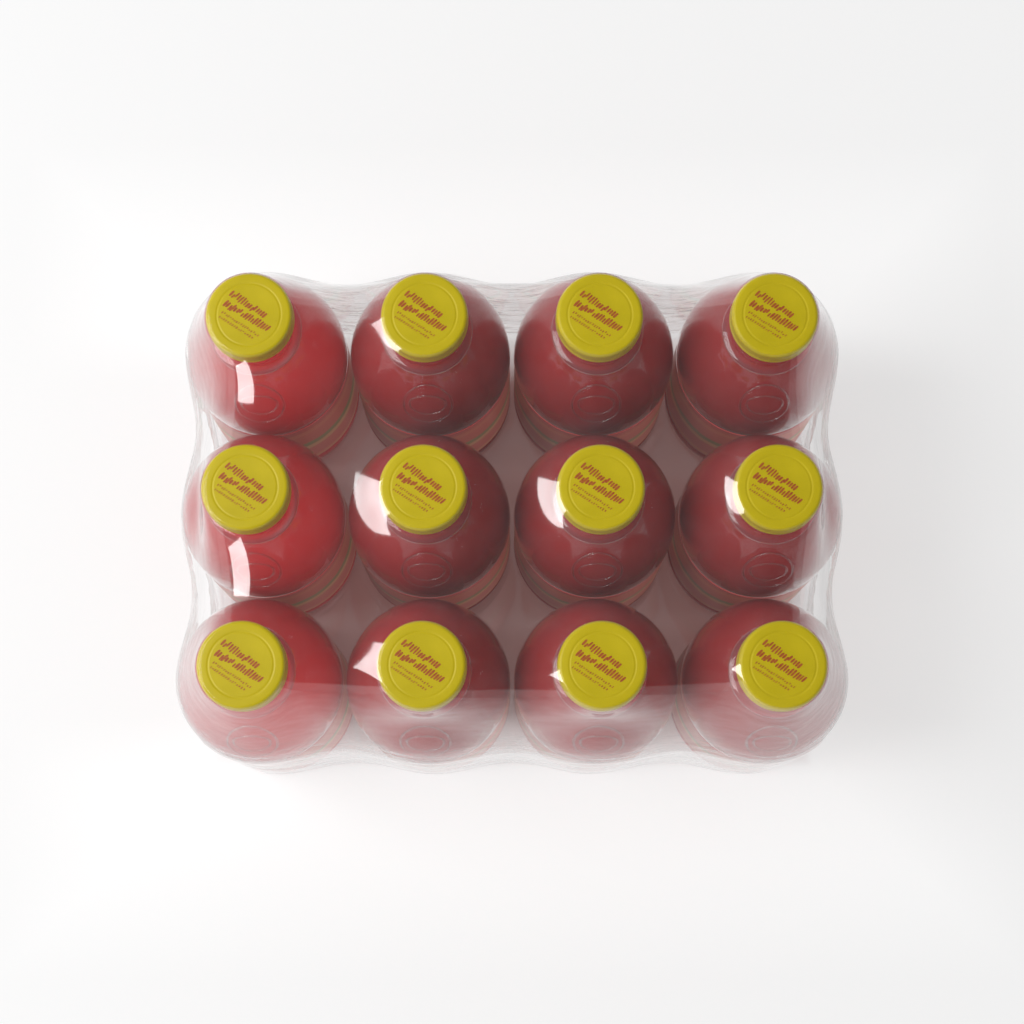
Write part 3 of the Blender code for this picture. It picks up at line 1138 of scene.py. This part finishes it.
def make_floor():
    """A pale table with some light of its own, which drops to a dim red where the pack stands:
    painted shade of the pack with a painted red glow of light passed through the drink, and a
    pink colour there for that red light. Along the pack's front and back its light is raised a
    little, a painted light that lifts the shade there.
    """
    mesh = bpy.data.meshes.new("floor")
    signs = ((-1, -1), (1, -1), (1, 1), (-1, 1))
    corners = [(FLOOR_HALF * sign_x, FLOOR_HALF * sign_y, 0) for sign_x, sign_y in signs]
    mesh.from_pydata(corners, [], [(0, 1, 2, 3)])
    nodes = Nodes("pale floor with painted shade and glow")
    split = nodes.add("ShaderNodeSeparateXYZ", Vector=nodes.coordinates())
    past_x = nodes.maths("SUBTRACT", nodes.maths("ABSOLUTE", split.outputs["X"]), cad_high.x)
    past_y = nodes.maths("SUBTRACT", nodes.maths("ABSOLUTE", split.outputs["Y"]), cad_high.y)
    past = nodes.maths("MAXIMUM", past_x, past_y)
    outside = nodes.remap(past, -0.030, -0.004, 0.0, 1.0)
    # Under the pack: a pink colour and a dim red light of its own, painted shade with a painted
    # red glow of light passed through the drink
    colour = nodes.ramp(outside, [(0.0, (0.88, 0.78, 0.77)), (1.0, grey(0.40))])
    light = nodes.ramp(outside, [(0.0, (0.085, 0.032, 0.028)), (1.0, grey(0.61))])
    # Painted light: the floor's own light is raised by up to 0.15 along the pack's front and
    # back, fading out over 0.10 m, to lift the shade the pack casts there
    rising = nodes.remap(past_y, -0.03, 0.0, 0.0, 0.15)
    falling = nodes.remap(past, 0.0, 0.10, 1.0, 0.0)
    matt = nodes.add(
        "ShaderNodeBsdfPrincipled",
        Base_Color=colour,
        Roughness=0.9,
        Emission_Color=light,
        Emission_Strength=nodes.maths("MULTIPLY_ADD", rising, falling, 1.0),
    )
    matt.inputs["Specular IOR Level"].default_value = 0.0
    nodes.material.cycles.emission_sampling = "NONE"
    mesh.materials.append(nodes.finish(matt.outputs[0]))
    floor = bpy.data.objects.new("floor", mesh)
    bpy.context.scene.collection.objects.link(floor)


def make_world():
    """A pale room: bright low down, more so on the left, and grey overhead."""
    world = bpy.data.worlds.new("pale room")
    world.use_nodes = True
    tree = world.node_tree
    background = tree.nodes["Background"]
    direction = tree.nodes.new("ShaderNodeTexCoord")
    split = tree.nodes.new("ShaderNodeSeparateXYZ")
    ramp = tree.nodes.new("ShaderNodeValToRGB")
    tree.links.new(direction.outputs["Generated"], split.inputs[0])
    tree.links.new(split.outputs["Z"], ramp.inputs["Fac"])
    tree.links.new(ramp.outputs["Color"], background.inputs["Color"])
    stops = [(0.0, 0.89), (0.42, 0.89), (0.46, 0.36), (0.84, 0.36), (0.94, 0.30), (1.0, 0.30)]
    elements = ramp.color_ramp.elements
    while len(elements) < len(stops):
        elements.new(0.5)
    for element, (position, value) in zip(elements, stops):
        element.position = position
        element.color = (*grey(value), 1.0)
    side = tree.nodes.new("ShaderNodeMapRange")
    side.inputs["From Min"].default_value = -0.9
    side.inputs["From Max"].default_value = 0.9
    side.inputs["To Min"].default_value = 1.25
    side.inputs["To Max"].default_value = 0.45
    tree.links.new(split.outputs["X"], side.inputs["Value"])
    tree.links.new(side.outputs[0], background.inputs["Strength"])
    world.cycles.sampling_method = "NONE"
    bpy.context.scene.world = world


def add_softbox(name, azimuth, elevation, distance, size, radiance):
    """A square lamp that faces the pack. Azimuth 0 is to the right and 90 to the back."""
    around, up = math.radians(azimuth), math.radians(elevation)
    direction = Vector(
        (math.cos(around) * math.cos(up), math.sin(around) * math.cos(up), math.sin(up))
    )
    lamp = bpy.data.lights.new(name, "AREA")
    lamp.shape = "SQUARE"
    lamp.size = size
    lamp.energy = radiance * math.pi * size * size
    holder = bpy.data.objects.new(name, lamp)
    holder.location = direction * distance + LAMP_TARGET
    holder.rotation_euler = direction.to_track_quat("Z", "Y").to_euler()
    bpy.context.scene.collection.objects.link(holder)
    return holder


def light_only(holder, pieces):
    """Makes a lamp fall on these pieces alone, with only the floor in its way."""
    lit = bpy.data.collections.new(f"{holder.name} lights")
    for piece in pieces:
        lit.objects.link(piece)
    stopping = bpy.data.collections.new(f"{holder.name} is stopped by")
    stopping.objects.link(bpy.data.objects["floor"])
    holder.light_linking.receiver_collection = lit
    holder.light_linking.blocker_collection = stopping


def make_key():
    """The softbox on the left, whose image shows on the film and the shoulders."""
    add_softbox("key", azimuth=180, elevation=51, distance=1.6, size=0.95, radiance=5.6)


def make_glow():
    """Light that real drink would pass on to the labels, and to the column beside the lamps."""
    left = [f"drink_fill_{row}_1" for row in range(1, ROWS + 1)]
    labels = [f"label_wrap_{row}_{column}" for row, column in PLACES]
    glow = add_softbox("glow", azimuth=-40, elevation=50, distance=1.2, size=0.8, radiance=4.4)
    light_only(glow, [bpy.data.objects[name] for name in left + labels])


def make_camera():
    data = bpy.data.cameras.new("camera")
    data.lens = CAMERA_LENS
    data.clip_start = 0.05
    data.clip_end = 50.0
    camera = bpy.data.objects.new("camera", data)
    camera.location = CAMERA_PLACE
    camera.rotation_euler = (CAMERA_TILT, 0.0, 0.0)
    bpy.context.scene.collection.objects.link(camera)
    bpy.context.scene.camera = camera


def set_up_light_paths():
    """Enough see-through layers for the film and the bottles, and few bounces besides."""
    cycles = bpy.context.scene.cycles
    cycles.transparent_max_bounces = 32
    cycles.max_bounces = 4
    cycles.diffuse_bounces = 2
    cycles.glossy_bounces = 2


make_bottles()
make_film()
make_floor()
make_world()
make_key()
make_glow()
make_camera()
set_up_light_paths()
bpy.context.scene.view_settings.view_transform = "Standard"
